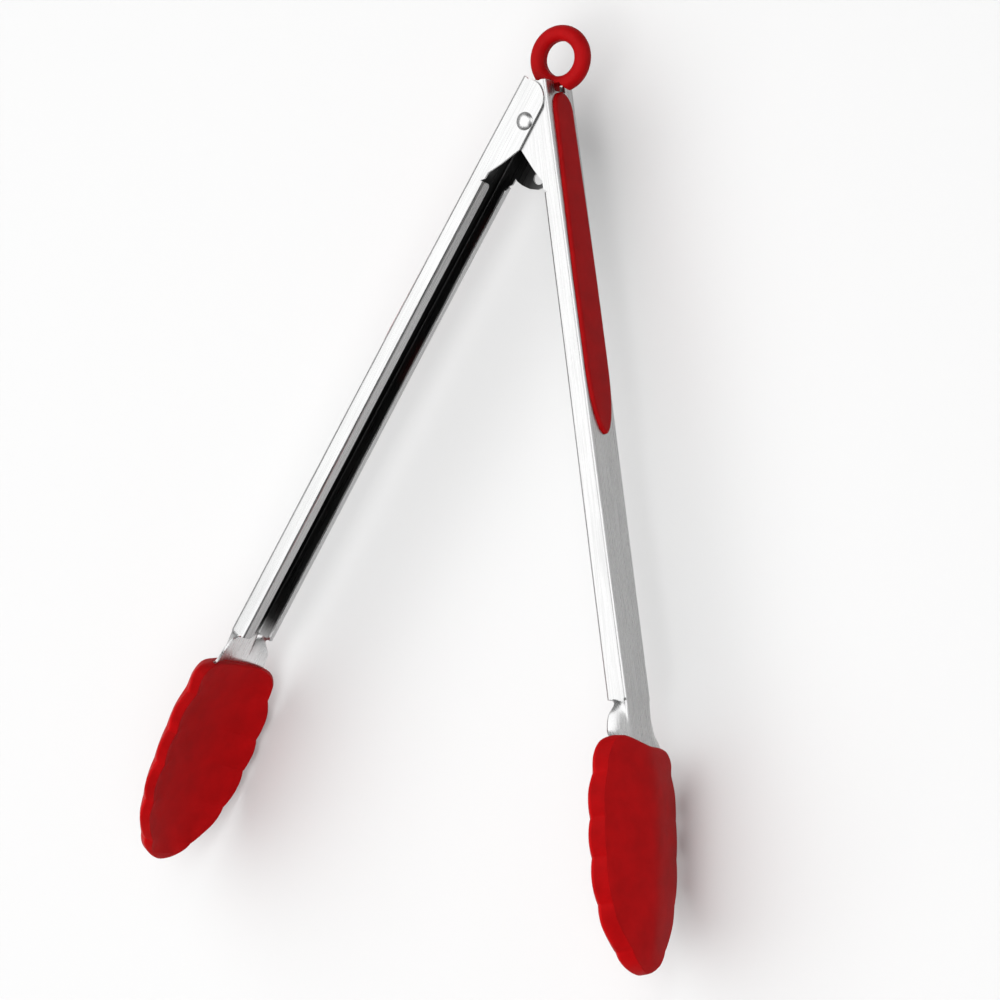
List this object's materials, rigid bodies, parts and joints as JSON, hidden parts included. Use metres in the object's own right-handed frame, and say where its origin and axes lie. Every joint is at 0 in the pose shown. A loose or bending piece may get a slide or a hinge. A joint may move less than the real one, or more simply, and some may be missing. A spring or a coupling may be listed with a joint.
{
  "type": "spring-loaded kitchen tongs",
  "caption": "Kitchen tongs with stamped steel channel arms, scalloped silicone heads, back grips, a torsion spring at the rivet and a pull ring that works the lock.",
  "frame": {"origin": "centre of the hanging hole in the pull ring", "axes": "+Z along the pivot axis and the hanging hole, -Y from the ring towards the fixed arm's tip, +X outward from the fixed arm's back; the tongs lie on their side, open"},
  "size_m": [0.201, 0.3061, 0.0552],
  "materials": {
    "steel_arm": "brushed along the arm",
    "silicone_head": "fine matte silicone",
    "silicone_grip": "fine matte silicone",
    "rivet_steel": "polished, peened",
    "bush_plastic": "moulded nylon",
    "spring_steel": "drawn wire",
    "slider_steel": "stamped",
    "silicone_ring": "fine matte silicone"
  },
  "bodies": {
    "fixed_side": {"fixed_arm": "steel_arm", "fixed_head": "silicone_head", "fixed_grip": "silicone_grip", "pivot_rivet": "rivet_steel", "spring_bush": "bush_plastic", "spacer_bush": "bush_plastic", "torsion_spring": "spring_steel"},
    "moving_side": {"moving_arm": "steel_arm", "moving_head": "silicone_head", "moving_grip": "silicone_grip"},
    "lock": {"lock_slider": "slider_steel", "lock_pin": "slider_steel", "hang_ring": "silicone_ring"}
  },
  "joints": [
    {"name": "squeeze", "type": "hinge", "parent": "fixed_side", "child": "moving_side", "pos_m": [-0.01055, -0.0196, 0], "axis": [0, 0, 1], "range_deg": [0, 39.2], "stiffness_Nm_per_rad": 0.5, "springref_deg": -20.05, "deforming": ["torsion_spring"]},
    {"name": "lock_slide", "type": "slide", "parent": "fixed_side", "child": "lock", "axis": [0, 1, 0], "range_m": [-0.0024, 0]}
  ]
}
